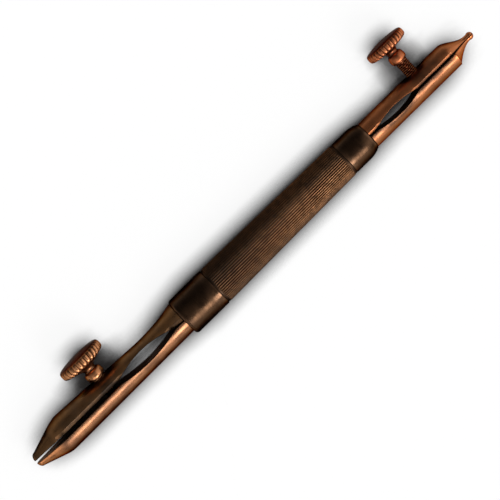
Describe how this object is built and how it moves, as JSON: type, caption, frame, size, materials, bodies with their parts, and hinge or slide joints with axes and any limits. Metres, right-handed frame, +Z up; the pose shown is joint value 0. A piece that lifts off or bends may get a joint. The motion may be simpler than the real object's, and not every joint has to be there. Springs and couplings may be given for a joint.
{
  "type": "watchmaker's jewelling tool",
  "caption": "Double-ended jewel setting tool: knurled grip, spring jaws with pointed opener tips at one end and ball closer tips at the other, each pair set by a thumbscrew.",
  "frame": {"origin": "on the tool's axis, half way between the mouths of the two collars", "axes": "+X along the tool towards the closer's ball tips, +Y along the thumbscrews towards their heads, +Z up with the tool lying on its side"},
  "size_m": [0.1224, 0.016, 0.0104],
  "materials": {
    "grip_steel": "dark brown patina, satin, worn on the ridges",
    "holder_steel": "plain turned steel, hidden",
    "jaw_bronze": "bronze-brown, satin, lightly tarnished",
    "screw_bronze": "reddish bronze, polished and worn"
  },
  "bodies": {
    "handle": {"grip_sleeve": "grip_steel", "opener_collar": "grip_steel", "opener_jaw_holder": "holder_steel", "opener_jaw_pins": "holder_steel", "closer_collar": "grip_steel", "closer_jaw_holder": "holder_steel", "closer_jaw_pins": "holder_steel"},
    "opener_upper_jaw": {"opener_screw_jaw": "jaw_bronze"},
    "opener_lower_jaw": {"opener_plain_jaw": "jaw_bronze"},
    "opener_thumbscrew": {"opener_thumb_head": "screw_bronze", "opener_screw_stem": "screw_bronze"},
    "closer_upper_jaw": {"closer_screw_jaw": "jaw_bronze"},
    "closer_lower_jaw": {"closer_plain_jaw": "jaw_bronze"},
    "closer_thumbscrew": {"closer_thumb_head": "screw_bronze", "closer_screw_stem": "screw_bronze"}
  },
  "joints": [
    {"name": "opener_upper_jaw_spring", "type": "hinge", "parent": "handle", "child": "opener_upper_jaw", "pos_m": [-0.02345, 0.0017, 0], "axis": [0, 0, -1], "range_deg": [-0.45, 0.02]},
    {"name": "opener_lower_jaw_spring", "type": "hinge", "parent": "handle", "child": "opener_lower_jaw", "pos_m": [-0.02345, -0.0017, 0], "axis": [0, 0, 1], "range_deg": [-0.45, 0.02]},
    {"name": "opener_screw_turn", "type": "hinge", "parent": "opener_lower_jaw", "child": "opener_thumbscrew", "pos_m": [-0.04625, 0.005, 0], "axis": [0, -1, 0], "range_deg": [-306, 0]},
    {"name": "closer_upper_jaw_spring", "type": "hinge", "parent": "handle", "child": "closer_upper_jaw", "pos_m": [0.02345, 0.00145, 0], "axis": [0, 0, 1], "range_deg": [-0.02, 1.7]},
    {"name": "closer_lower_jaw_spring", "type": "hinge", "parent": "handle", "child": "closer_lower_jaw", "pos_m": [0.02345, -0.00145, 0], "axis": [0, 0, -1], "range_deg": [-0.02, 1.7]},
    {"name": "closer_screw_turn", "type": "hinge", "parent": "closer_lower_jaw", "child": "closer_thumbscrew", "pos_m": [0.04105, 0.0075, 0], "axis": [0, -1, 0], "range_deg": [0, 900]}
  ],
  "couplings": [
    {"joint": "opener_upper_jaw_spring", "follows": "opener_screw_turn", "ratio": 0.001396},
    {"joint": "opener_lower_jaw_spring", "follows": "opener_screw_turn", "ratio": 0.001396},
    {"joint": "closer_upper_jaw_spring", "follows": "closer_screw_turn", "ratio": 0.001809},
    {"joint": "closer_lower_jaw_spring", "follows": "closer_screw_turn", "ratio": 0.001809}
  ]
}
